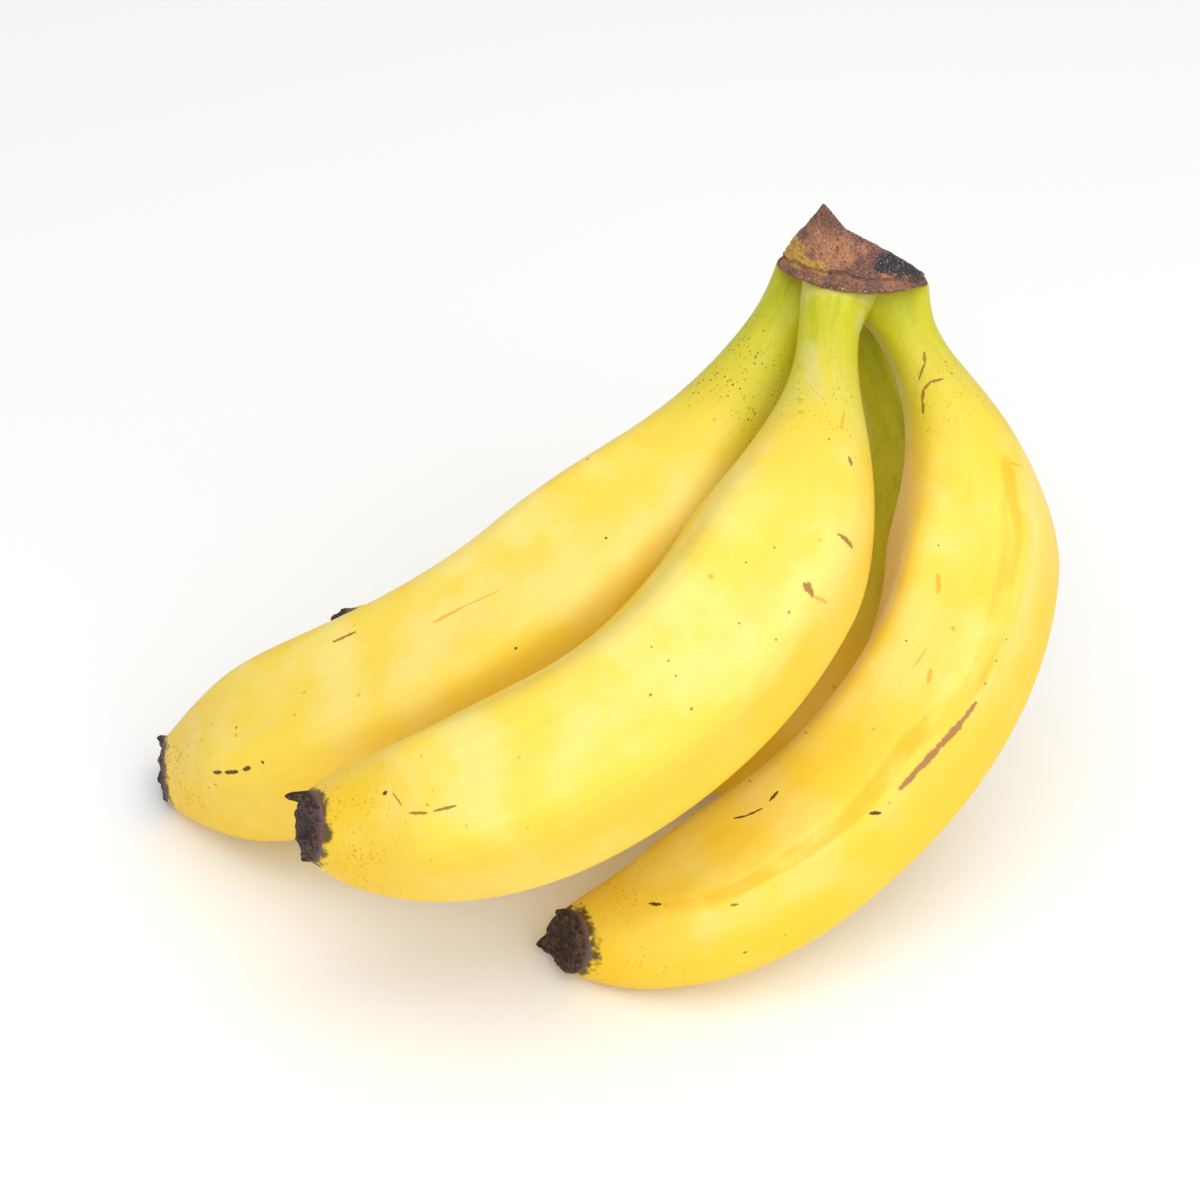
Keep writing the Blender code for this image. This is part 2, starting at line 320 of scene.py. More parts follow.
def ripple(points, wave, seed, count=14):
    """Smooth noise from about -1 to 1: a sum of sine waves of random direction and phase."""
    chance = np.random.default_rng(seed)
    directions = chance.normal(size=(count, 3))
    directions = directions / np.linalg.norm(directions, axis=1, keepdims=True)
    rates = 2.0 * math.pi / wave * chance.uniform(0.6, 1.5, size=count)
    phases = chance.uniform(0.0, 2.0 * math.pi, size=count)
    waves = np.sin((points @ directions.T) * rates + phases)
    return waves.sum(axis=-1) / math.sqrt(count)


def drawn_back(banana, offsets, direction):
    """How far points offset from the axis are drawn back along it at the slanted end.

    It is short, plus slant times the part of the offset that points to END_SIDE.
    """
    side = np.array(END_SIDE)
    side = side - (side @ direction) * direction
    return banana["short"] + banana["slant"] * (offsets @ (side / np.linalg.norm(side)))


def gap_to(points, banana):
    """How far points are from a banana's round neck, below 0 inside it.

    The neck is the first 37 percent of the axis, run on straight by 12 mm into the crown.
    """
    axis, directions, _, _ = bend_axis(banana, AXIS_SHARES)
    behind = np.linspace(0.012, 0.001, 10)[:, None]
    axis = np.vstack([axis[:1] - behind * directions[:1], axis[:90:2]])
    shares = np.concatenate([np.zeros(len(behind)), AXIS_SHARES[:90:2]])
    radius = half_thickness(banana, shares)
    axis = seated(axis, banana)
    away = np.linalg.norm(points[..., None, :] - axis, axis=-1) - radius
    return away.min(axis=-1)


def banana_grid(key, settings):
    """Rings of a banana from the crown to its blossom end, with four layers of values.

    A ring's points stand round the axis at half_thickness times the five-sided factor. The
    neck's rings run back straight to the crown's underside. Where another neck is near, the
    surface swells towards it by the blend of two surfaces, web / 4 * (1 - gap / web) squared.
    The layers are the place on the unbent banana, the share of its length, how close the
    point is to a ridge, and how far it faces up.
    """
    banana = BANANAS[key]
    around = settings.around
    t = np.linspace(0.0, 1.0, settings.rings + 1)
    axis, directions, normals, length = bend_axis(banana, t)
    sideways = np.cross(directions, normals)
    turn = 2.0 * math.pi * np.arange(around) / around
    strength = smooth_step(*RIDGES_RISE, t) * (1.0 - 0.8 * smooth_step(*RIDGES_FADE, t))
    corner = np.radians(banana["ridge"] + banana["twist"] * (t - 0.5))
    lift = five_sided(turn[None, :] - corner[:, None], strength[:, None])
    thickness = half_thickness(banana, t)
    spoke = np.cos(turn)[None, :, None] * normals[:, None, :]
    spoke = spoke + np.sin(turn)[None, :, None] * sideways[:, None, :]
    place = np.stack([thickness[:, None] * np.cos(turn), thickness[:, None] * np.sin(turn),
                      np.repeat((t * length)[:, None], around, axis=1)], axis=-1)
    dents = ripple(place * (1.0, 1.0, 0.45), 0.02, 7 + len(key))
    dents = dents * settings.unevenness * smooth_step(0.02, 0.2, t)[:, None]
    reach = thickness[:, None] * lift + dents * (1.0 - smooth_step(0.93, 1.0, t))[:, None]
    offsets = reach[..., None] * spoke
    back = drawn_back(banana, offsets, directions[-1]) * smooth_step(*SLANT_SHARES, t)[:, None]
    rings = axis[:, None, :] + offsets - back[..., None] * directions[:, None, :]
    centre, _, _, up = crown_axes()
    run = (NECK_TOP - (rings[0] - centre) @ up) / -(directions[0] @ up)
    shares = np.linspace(1.0, 0.0, NECK_RINGS + 1)[:-1]
    behind = shares[:, None, None] * run[None, :, None]
    rings = seated(np.concatenate([rings[0] - behind * directions[0], rings]), banana)
    stand = np.array(CAP_HEIGHTS)[:, None, None]
    place = np.concatenate([place[0] - behind * UPRIGHT, place, place[-1:] + stand * UPRIGHT])
    share = np.concatenate([-shares * run.mean() / length, t, np.ones(len(stand))])
    ridge = np.cos(SIDES * (turn[None, :] - corner[:, None])) * strength[:, None]
    ridge = np.pad(ridge, ((NECK_RINGS, len(stand)), (0, 0)))
    spoke = np.pad(spoke, ((NECK_RINGS, len(stand)), (0, 0), (0, 0)), mode="edge")
    height = (rings - centre) @ up
    web = settings.web * smooth_step(-WEB_DEPTH, -0.002, height)
    upper = share[:len(rings)] < WEB_SHARE
    gap = np.full(height.shape, 1.0)
    swell = np.zeros(height.shape)
    for other in BANANAS:
        if other != key:
            reach = web * (JOINED_WEB if {key, other} == JOINED else 1.0)
            gap[upper] = gap_to(rings[upper], BANANAS[other])
            near = np.clip(1.0 - np.maximum(gap, 0.0) / np.maximum(reach, 1e-6), 0.0, 1.0)
            swell = np.maximum(swell, reach / 4.0 * near ** 2)
    rings = rings + swell[..., None] * spoke[:len(rings)]
    rings[..., 2] = np.maximum(rings[..., 2], 0.0)
    middle = rings[-1].mean(axis=0)
    shrink = np.array(CAP_SHARES)[:, None, None]
    rings = np.concatenate([rings, middle + (rings[-1] - middle) * shrink + stand * directions[-1]])
    return rings, place, np.repeat(share[:, None], around, axis=1), ridge, spoke[..., 2]


def cut_face(start, end, fall):
    """Normal and distance of the flat face on the crown's outline from start to end."""
    normal = np.array((start[1] - end[1], fall * (end[0] - start[0]), end[0] - start[0]))
    normal = normal / np.linalg.norm(normal)
    return normal, normal @ (start[0], 0.0, start[1])


def lowest_rim(across):
    """Height of the crown's foot in millimetres at places across it, a parabola up to 0."""
    middle, lowest, half = CROWN_FOOT
    return np.minimum(lowest * (1.0 - ((across / 1000.0 - middle) / half) ** 2), 0.0) * 1000.0


def crown_excess(places):
    """How far places in the crown's own axes stand out of the crown, below 0 inside it.

    Each flat face gives its distance, the side gives its oval length less 1, times the half
    width, and the foot is lowest in the middle and rises to both sides as a parabola. Those of
    one block are joined by a smooth maximum, the log of the sum of their exponentials. The
    crown is the block under the knife cut together with the peak.
    """
    oval = np.abs(places[:, 0] / CROWN_HALF_WIDTH) ** OVAL_POWER
    oval = (oval + np.abs(places[:, 1] / CROWN_HALF_DEPTH) ** OVAL_POWER) ** (1.0 / OVAL_POWER)
    side = (oval - 1.0 + CROWN_NARROWING * places[:, 2]) * CROWN_HALF_WIDTH
    foot = lowest_rim(places[:, 0] * 1000.0) / 1000.0 - places[:, 2]
    blocks = []
    for start, end in ((CROWN_STEP, CROWN_RIGHT), (CROWN_PEAK, CROWN_STEP)):
        excess = [side, foot]
        for normal, distance in (cut_face(CROWN_LEFT, CROWN_PEAK, CROWN_LEFT_FALL),
                                 cut_face(start, end, CROWN_CUT_FALL)):
            excess.append(places @ normal - distance)
        blocks.append(np.log(np.exp(np.array(excess) / EDGE_ROUNDING).sum(axis=0)))
    return np.minimum(*blocks) * EDGE_ROUNDING


def crown_grid(settings):
    """Points of the crown, their places in its own axes and how creased each is.

    The directions from an inner point are a globe with its poles, which come last, at the
    front and the back, and the reach in each is found by halving. The rim swells by a bell
    curve of the height under a shallow crease, and lumps of about 4 and 1 mm cover the whole.
    """
    lay = math.pi * (np.arange(settings.rings) + 0.5) / settings.rings
    turn = 2.0 * math.pi * np.arange(settings.around) / settings.around
    ways = np.stack([np.sin(lay)[:, None] * np.cos(turn),
                     np.repeat(-np.cos(lay)[:, None], len(turn), axis=1),
                     -np.sin(lay)[:, None] * np.sin(turn)], axis=-1)
    ways = np.concatenate([ways.reshape(-1, 3), ((0.0, -1.0, 0.0), (0.0, 1.0, 0.0))])
    low, high = np.zeros(len(ways)), np.full(len(ways), 3.0 * CROWN_HALF_DEPTH)
    for _ in range(HALVINGS):
        middle = (low + high) / 2.0
        outside = crown_excess(CROWN_INNER + middle[:, None] * ways) > 0.0
        low, high = np.where(outside, low, middle), np.where(outside, middle, high)
    places = (CROWN_INNER + low[:, None] * ways) * 1000.0
    wander = 0.5 * ripple(places * (1.0, 1.0, 0.0), 9.0, 13)
    above = places[:, 2] - wander - 0.45 * (lowest_rim(places[:, 0]) + 2.3)
    rim = np.exp(-((above + 1.1) / 1.0) ** 2)
    crease = np.exp(-((above - 0.6) / 0.4) ** 2)
    outward = ways * (1.0, 1.0, 0.25)
    places = places + (settings.lip * 1000.0 * (rim - 0.9 * crease))[:, None] * outward
    lumps = 0.17 * ripple(places, 4.0, 3) + 0.1 * ripple(places, 1.3, 5, 24)
    places = (places + lumps[:, None] * ways) / 1000.0
    centre, right, back, up = crown_axes()
    return centre + places @ np.array((right, back, up)), places, crease


# Each blossom end in millimetres: its height, the depth of its hollow, and its pulls. A pull
# is its turn in degrees, its share of the radius, how far it draws outward and sideways, and
# its width.
BLOSSOMS = {
    "left": dict(height=1.6, hollow=0.4, pulls=(
        (331.0, 0.2, 2.6, 0.3, 1.7), (151.0, 0.85, 1.6, 0.6, 1.2),
        (331.0, 0.8, 0.7, 0.4, 1.3), (90.0, 0.6, 0.8, 0.0, 1.2))),
    "middle": dict(height=1.5, hollow=0.4, pulls=(
        (152.0, 0.85, 4.4, -0.2, 1.35), (120.0, 0.6, 1.4, 0.0, 1.5),
        (10.0, 0.35, 2.4, 0.2, 1.6), (334.0, 0.85, 1.2, 0.5, 1.3))),
    "right": dict(height=2.2, hollow=0.9, pulls=(
        (177.0, 0.9, 1.1, 0.4, 1.3), (275.0, 0.9, 2.0, 0.3, 1.5),
        (200.0, 0.3, 0.8, 0.0, 1.0), (357.0, 0.9, 0.8, 0.4, 1.5))),
    "inner": dict(height=2.3, hollow=0.8, pulls=(
        (40.0, 0.6, 2.0, 0.6, 1.5), (160.0, 0.5, 1.6, 0.2, 1.6), (270.0, 0.8, 1.2, 0.5, 1.5))),
}

# Profile of a blossom end from inside the peel to its middle: places on the way, reach as a
# share of the radius and rise as a share of the height
PROFILE_PLACES = (0.0, 0.12, 0.3, 0.42, 0.55, 1.0)
PROFILE_REACH = (0.88, 0.985, 0.93, 0.84, 0.68, 0.02)
PROFILE_RISE = (-0.5, 0.1, 0.6, 0.9, 1.0, 1.0)


def blossom_grid(key, settings):
    """Rings of a dry blossom end from inside the peel, over its rim and in to its middle.

    The profile rises from the peel to the rim, then falls by an even S to a hollow. Each pull
    draws the surface out round its centre by a bell curve, and lumps cover the whole.
    """
    banana, look = BANANAS[key], BLOSSOMS[key]
    axis, directions, normals, _ = bend_axis(banana, AXIS_SHARES)
    out, normal = directions[-1], normals[-1]
    side = np.cross(out, normal)
    radius = half_thickness(banana, np.array([1.0]))[0] * 1000.0
    turn = 2.0 * math.pi * np.arange(settings.around) / settings.around
    walk = np.linspace(0.0, 1.0, settings.rings)
    reach = np.interp(walk, PROFILE_PLACES, PROFILE_REACH) * radius
    rise = np.interp(walk, PROFILE_PLACES, PROFILE_RISE) * look["height"]
    rise = rise - look["hollow"] * smooth_step(0.42, 1.0, walk)
    flat = np.stack([reach[:, None] * np.cos(turn), reach[:, None] * np.sin(turn),
                     np.repeat(rise[:, None], len(turn), axis=1)], axis=-1)
    wave = 0.05 * np.cos(3.0 * turn + len(key)) + 0.03 * np.cos(7.0 * turn + 2.0 * len(key))
    wave = wave * smooth_step(0.1, 0.4, walk)[:, None]
    flat[..., :2] = flat[..., :2] * (1.0 + wave[..., None])
    moved = flat.copy()
    for degrees, share, outward, sideways, width in look["pulls"]:
        angle = math.radians(degrees)
        spoke = np.array((math.cos(angle), math.sin(angle), 0.0))
        spot = spoke * share * radius
        away = np.linalg.norm((flat - spot)[..., :2], axis=-1)
        bell = np.exp(-(away / width) ** 2) * smooth_step(0.05, 0.3, walk)[:, None]
        moved = moved + bell[..., None] * (outward * UPRIGHT + sideways * spoke)
    rough = smooth_step(0.06, 0.3, walk)[:, None]
    lumps = 0.22 * ripple(moved, 2.6, 11 + len(key)) + 0.1 * ripple(moved, 0.9, 19, 24)
    moved = moved + (rough * lumps)[..., None] * np.array((0.3, 0.3, 1.0))
    offsets = (moved @ np.array((normal, side, out))) / 1000.0
    level = offsets - (offsets @ out)[..., None] * out
    points = axis[-1] + offsets - drawn_back(banana, level, out)[..., None] * out
    points[..., 2] = np.maximum(points[..., 2], 0.0)
    return points, moved / 1000.0


# Meshes

def with_poles(layer):
    """A grid's values as one list, ended by the means of its first and its last ring."""
    flat = layer.reshape(-1, *layer.shape[2:])
    return np.concatenate([flat, [layer[0].mean(axis=0)], [layer[-1].mean(axis=0)]])


def grid_piece(name, points, around, values, material, node):
    """A closed piece over rings of points and two poles, in place of a CAD node."""
    first, last = len(points) - 2, len(points) - 1
    base = first - around
    row = np.arange(0, base, around)[:, None]
    step = np.arange(around)
    after = (step + 1) % around
    quads = np.stack([row + step, row + after, row + around + after, row + around + step], axis=-1)
    near = np.stack([after, step, np.full(around, first)], axis=-1)
    far = np.stack([base + step, base + after, np.full(around, last)], axis=-1)
    faces = quads.reshape(-1, 4).tolist() + near.tolist() + far.tolist()
    mesh = bpy.data.meshes.new(name)
    mesh.from_pydata(points.tolist(), [], faces)
    for label, data in values.items():
        kind, field = ("FLOAT_VECTOR", "vector") if data.ndim == 2 else ("FLOAT", "value")
        layer = mesh.attributes.new(label, kind, "POINT")
        layer.data.foreach_set(field, data.astype(np.float32).ravel())
    mesh.shade_smooth()
    mesh.materials.append(material)
    piece = bpy.data.objects.new(name, mesh)
    bpy.context.scene.collection.objects.link(piece)
    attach(piece, "root")
    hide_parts(node)


# Shader nodes

def put(tree, kind, sockets=None, **settings):
    """Adds a node, applies its settings, and sets or wires its inputs."""
    node = tree.nodes.new(kind)
    for key, value in settings.items():
        setattr(node, key, value)
    for key, value in (sockets or {}).items():
        if isinstance(value, bpy.types.NodeSocket):
            tree.links.new(value, node.inputs[key])
        else:
            node.inputs[key].default_value = value
    return node


def sums(tree, operation, *values):
    """The output of a Math node over sockets or numbers."""
    return put(tree, "ShaderNodeMath", dict(enumerate(values)), operation=operation).outputs[0]


def times(tree, first, second):
    """The product of two sockets or numbers."""
    return sums(tree, "MULTIPLY", first, second)


def vectors(tree, operation, *values, out=0, scale=None):
    """An output of a Vector Math node."""
    sockets = dict(enumerate(values))
    if scale is not None:
        sockets["Scale"] = scale
    return put(tree, "ShaderNodeVectorMath", sockets, operation=operation).outputs[out]


def between(tree, value, low, high, start=0.0, end=1.0):
    """A value eased from start at low to end at high."""
    sockets = {"Value": value, "From Min": low, "From Max": high, "To Min": start, "To Max": end}
    node = put(tree, "ShaderNodeMapRange", sockets, interpolation_type="SMOOTHSTEP")
    return node.outputs["Result"]


def blend(tree, share, first, second):
    """The colour between two colours."""
    sockets = {0: share, 6: first, 7: second}
    for index in (6, 7):
        if not isinstance(sockets[index], bpy.types.NodeSocket):
            sockets[index] = (*sockets[index], 1.0)
    return put(tree, "ShaderNodeMix", sockets, data_type="RGBA").outputs[2]


def noise(tree, place, size, detail=2.0, roughness=0.5, out="Fac"):
    """Noise with features of about the given size in metres."""
    sockets = {"Vector": place, "Scale": 1.0 / size, "Detail": detail, "Roughness": roughness}
    return put(tree, "ShaderNodeTexNoise", sockets).outputs[out]


def centred_noise(tree, place, size, detail, roughness):
    """Three noises in one vector, each from -0.5 to 0.5."""
    values = noise(tree, place, size, detail, roughness, out="Color")
    return vectors(tree, "SUBTRACT", values, (0.5, 0.5, 0.5))


def attribute(tree, name, out="Fac"):
    """A value that the mesh carries for each point."""
    return put(tree, "ShaderNodeAttribute", attribute_name=name).outputs[out]


def new_group(name, places, numbers):
    """A shader group with its vector and number inputs and one output, and those inputs."""
    tree = bpy.data.node_groups.new(name, "ShaderNodeTree")
    for kind, labels in (("Vector", places), ("Float", numbers)):
        for label in labels:
            tree.interface.new_socket(name=label, in_out="INPUT", socket_type="NodeSocket" + kind)
    tree.interface.new_socket(name="Mask", in_out="OUTPUT", socket_type="NodeSocketFloat")
    return tree, tree.nodes.new("NodeGroupInput").outputs


def closed_group(tree, mask):
    """The shader group with the mask wired to its output."""
    tree.links.new(mask, tree.nodes.new("NodeGroupOutput").inputs["Mask"])
    return tree


def scar_group():
    """Mask of a mark along a line from one place to another, narrower at its ends.

    Shift is noise from -0.5 to 0.5, which Wobble scales to unsettle the mark's edge.
    """
    tree, given = new_group("scar_group", ("Place", "Shift", "From", "To"),
                            ("Width", "Wobble", "Pinch"))
    shift = vectors(tree, "SCALE", given["Shift"], scale=given["Wobble"])
    place = vectors(tree, "ADD", given["Place"], shift)
    line = vectors(tree, "SUBTRACT", given["To"], given["From"])
    away = vectors(tree, "SUBTRACT", place, given["From"])
    square = sums(tree, "MAXIMUM", vectors(tree, "DOT_PRODUCT", line, line, out=1), 1e-12)
    share = sums(tree, "DIVIDE", vectors(tree, "DOT_PRODUCT", away, line, out=1), square)
    share = sums(tree, "MINIMUM", sums(tree, "MAXIMUM", share, 0.0), 1.0)
    nearest = vectors(tree, "SCALE", line, scale=share)
    distance = vectors(tree, "LENGTH", vectors(tree, "SUBTRACT", away, nearest), out=1)
    ends = sums(tree, "SUBTRACT", times(tree, share, 2.0), 1.0)
    ends = times(tree, times(tree, ends, ends), given["Pinch"])
    width = times(tree, given["Width"], sums(tree, "SUBTRACT", 1.0, ends))
    mask = between(tree, distance, times(tree, width, 0.5), width, 1.0, 0.0)
    return closed_group(tree, mask)


def freckle_group():
    """Mask of scattered dots: cells of the given spacing, some of them with a dot."""
    tree, given = new_group("freckle_group", ("Place",), ("Spacing", "Size", "Chance"))
    rate = sums(tree, "DIVIDE", 1.0, given["Spacing"])
    cells = put(tree, "ShaderNodeTexVoronoi", {"Vector": given["Place"], "Scale": rate})
    parts = put(tree, "ShaderNodeSeparateColor", {"Color": cells.outputs["Color"]})
    size = times(tree, given["Size"], rate)
    size = times(tree, size, sums(tree, "ADD", 0.5, parts.outputs["Green"]))
    dot = between(tree, cells.outputs["Distance"], times(tree, size, 0.5), size, 1.0, 0.0)
    chosen = sums(tree, "LESS_THAN", parts.outputs["Red"], given["Chance"])
    return closed_group(tree, times(tree, dot, chosen))


def effect(tree, maker, **values):
    """Places a group, made once under its maker's name, with the material's own values."""
    group = bpy.data.node_groups.get(maker.__name__) or maker()
    return put(tree, "ShaderNodeGroup", values, node_tree=group).outputs[0]


def line_mask(tree, place, shift, lines):
    """The mask of all lines. Each is its ends, width, wobble and pinch as in scar_group."""
    mask = None
    for start, end, width, wobble, pinch in lines:
        one = effect(tree, scar_group, Place=place, Shift=shift, From=start, To=end,
                     Width=width, Wobble=wobble, Pinch=pinch)
        mask = one if mask is None else sums(tree, "MAXIMUM", mask, one)
    return mask


def start_material(name, roughness, specular):
    """A new material with its tree and its shader, whose plain values are set on the shader."""
    material = bpy.data.materials.new(name)
    material.use_nodes = True
    tree = material.node_tree
    shader = tree.nodes["Principled BSDF"]
    shader.inputs["Roughness"].default_value = roughness
    shader.inputs["Specular IOR Level"].default_value = specular
    return material, tree, shader


def finish_material(tree, shader, body, rough, height, strength, distance):
    """Wires the colour, the roughness and the bump of a height into the shader."""
    sockets = {"Height": height, "Strength": strength, "Distance": distance}
    normal = put(tree, "ShaderNodeBump", sockets).outputs["Normal"]
    for label, value in (("Base Color", body), ("Roughness", rough), ("Normal", normal)):
        tree.links.new(value, shader.inputs[label])


def unbent(key, thousandths, degrees):
    """The place on the unbent banana at thousandths of its length and an angle round it."""
    banana = BANANAS[key]
    share = thousandths / 1000.0
    radius = half_thickness(banana, np.array([share]))[0]
    length = bend_axis(banana, AXIS_SHARES)[3]
    angle = math.radians(degrees)
    return (radius * math.cos(angle), radius * math.sin(angle), share * length)


# Marks on each banana by kind. A line is thousandths of the length and degrees round it at one
# end, the same at the other end, and its half width in hundredths of a millimetre. A dot is
# one place and its half width.
MARKS = {
    "left": {
        "chalk": ((787, 65, 752, 69, 80),),
        "rust": (
            (552, 81, 515, 78, 40), (515, 78, 472, 72, 20), (715, 79, 50), (853, 84, 50),
            (728, 67, 50), (802, 68, 50), (652, 62, 50)),
        "brown": (
            (673, 103, 643, 102, 35), (862, 40, 40), (887, 38, 30), (880, 74, 35), (153, 88, 25),
            (158, 61, 25), (155, 67, 25), (102, 84, 25), (87, 71, 25), (113, 93, 25),
            (117, 59, 25)),
        "black": (
            (850, 49, 833, 48, 50), (825, 47, 807, 46, 50), (798, 46, 790, 46, 50), (773, 47, 35),
            (802, 73, 30), (360, 53, 30), (490, 39, 30)),
    },
    "middle": {
        "chalk": ((65, 119, 97, 96, 160), (97, 96, 142, 79, 140), (17, 9, 42, 1, 130)),
        "green": ((148, 100, 60), (168, 94, 60), (822, 101, 40), (712, 76, 40)),
        "rust": (
            (815, 77, 30), (733, 37, 30), (788, 50, 30), (912, 76, 30), (920, 70, 30),
            (878, 62, 30), (375, 35, 368, 21, 40), (153, 43, 180, 48, 30)),
        "brown": (
            (898, 86, 882, 75, 30), (865, 67, 830, 64, 35), (820, 64, 793, 63, 35), (827, 69, 25),
            (370, 43, 375, 36, 90), (307, 38, 307, 23, 55), (213, 39, 222, 37, 50), (200, 59, 30),
            (353, 68, 25), (383, 78, 25), (403, 41, 30), (432, 38, 25), (538, 45, 30),
            (525, 88, 25), (522, 75, 25), (527, 65, 25), (560, 66, 30), (442, 59, 25)),
        "black": ((920, 89, 912, 89, 45),),
    },
    "right": {
        "chalk": ((483, 81, 490, 83, 100),),
        "scar": (
            (495, 55, 517, 57, 70), (517, 57, 548, 61, 110), (548, 61, 582, 64, 100),
            (582, 64, 607, 65, 80)),
        "gold": (
            (242, 48, 290, 56, 100), (290, 56, 368, 62, 140), (368, 62, 473, 62, 150),
            (473, 62, 563, 79, 140), (563, 79, 667, 77, 130), (667, 77, 750, 83, 120),
            (750, 83, 842, 89, 100), (842, 89, 907, 101, 80)),
        "rust": (
            (243, 47, 248, 32, 30), (483, 92, 497, 89, 60), (462, 101, 490, 104, 20),
            (370, 107, 392, 105, 60)),
        "brown": (
            (98, 75, 110, 85, 35), (110, 85, 123, 106, 35), (135, 72, 132, 91, 40),
            (132, 91, 137, 106, 45), (137, 106, 148, 113, 45), (148, 113, 162, 117, 40),
            (118, 49, 25), (133, 53, 25), (423, 52, 25), (447, 54, 30), (472, 55, 30),
            (358, 139, 30), (463, 116, 30), (633, 143, 30), (723, 149, 30), (332, 109, 25),
            (815, 79, 807, 77, 30), (832, 37, 828, 37, 30)),
        "black": (
            (647, 69, 640, 64, 50), (763, 134, 750, 129, 25), (750, 129, 730, 125, 25),
            (717, 126, 705, 127, 40), (928, 112, 915, 106, 50)),
    },
    "inner": {},
}

# For each kind of mark: how strong its colour is, how deep it is sunk, and how far a line's
# ends are narrowed. The soft kinds are broken up. The factors turn a half width into the
# width and the wobble of the mark.
MARK_KINDS = {"gold": (0.6, 0.0, 0.0), "chalk": (0.3, 0.0, 0.4), "green": (0.5, 0.2, 0.0),
              "rust": (0.6, 0.2, 0.5), "scar": (0.85, 0.3, 0.3), "brown": (0.85, 0.5, 0.5),
              "black": (0.95, 0.6, 0.4)}
SOFT_KINDS = {"gold", "chalk"}
SOFT_FACTORS = (1.7, 0.8)
CLEAR_FACTORS = (1.15, 1.4)

# How each banana differs: how far the lime neck reaches, how golden the body is, and how
# many freckles its neck and its tip have
LOOKS = {
    "left": dict(lime=(0.06, 0.3), gold=0.08, neck_dots=0.9, tip_dots=0.9),
    "middle": dict(lime=(0.02, 0.24), gold=0.05, neck_dots=0.4, tip_dots=0.5),
    "right": dict(lime=(0.04, 0.24), gold=0.42, neck_dots=0.3, tip_dots=0.5),
    "inner": dict(lime=(0.15, 0.42), gold=0.5, neck_dots=0.3, tip_dots=0.5),
}

# Freckles and specks: spacing and size in metres, and the share of cells that have one
SMALL_FRECKLES = dict(Spacing=0.0008, Size=0.00025, Chance=0.75)
LARGE_FRECKLES = dict(Spacing=0.006, Size=0.00045, Chance=0.35)
SAP_SPECKS = dict(Spacing=0.00055, Size=0.00015, Chance=0.45)


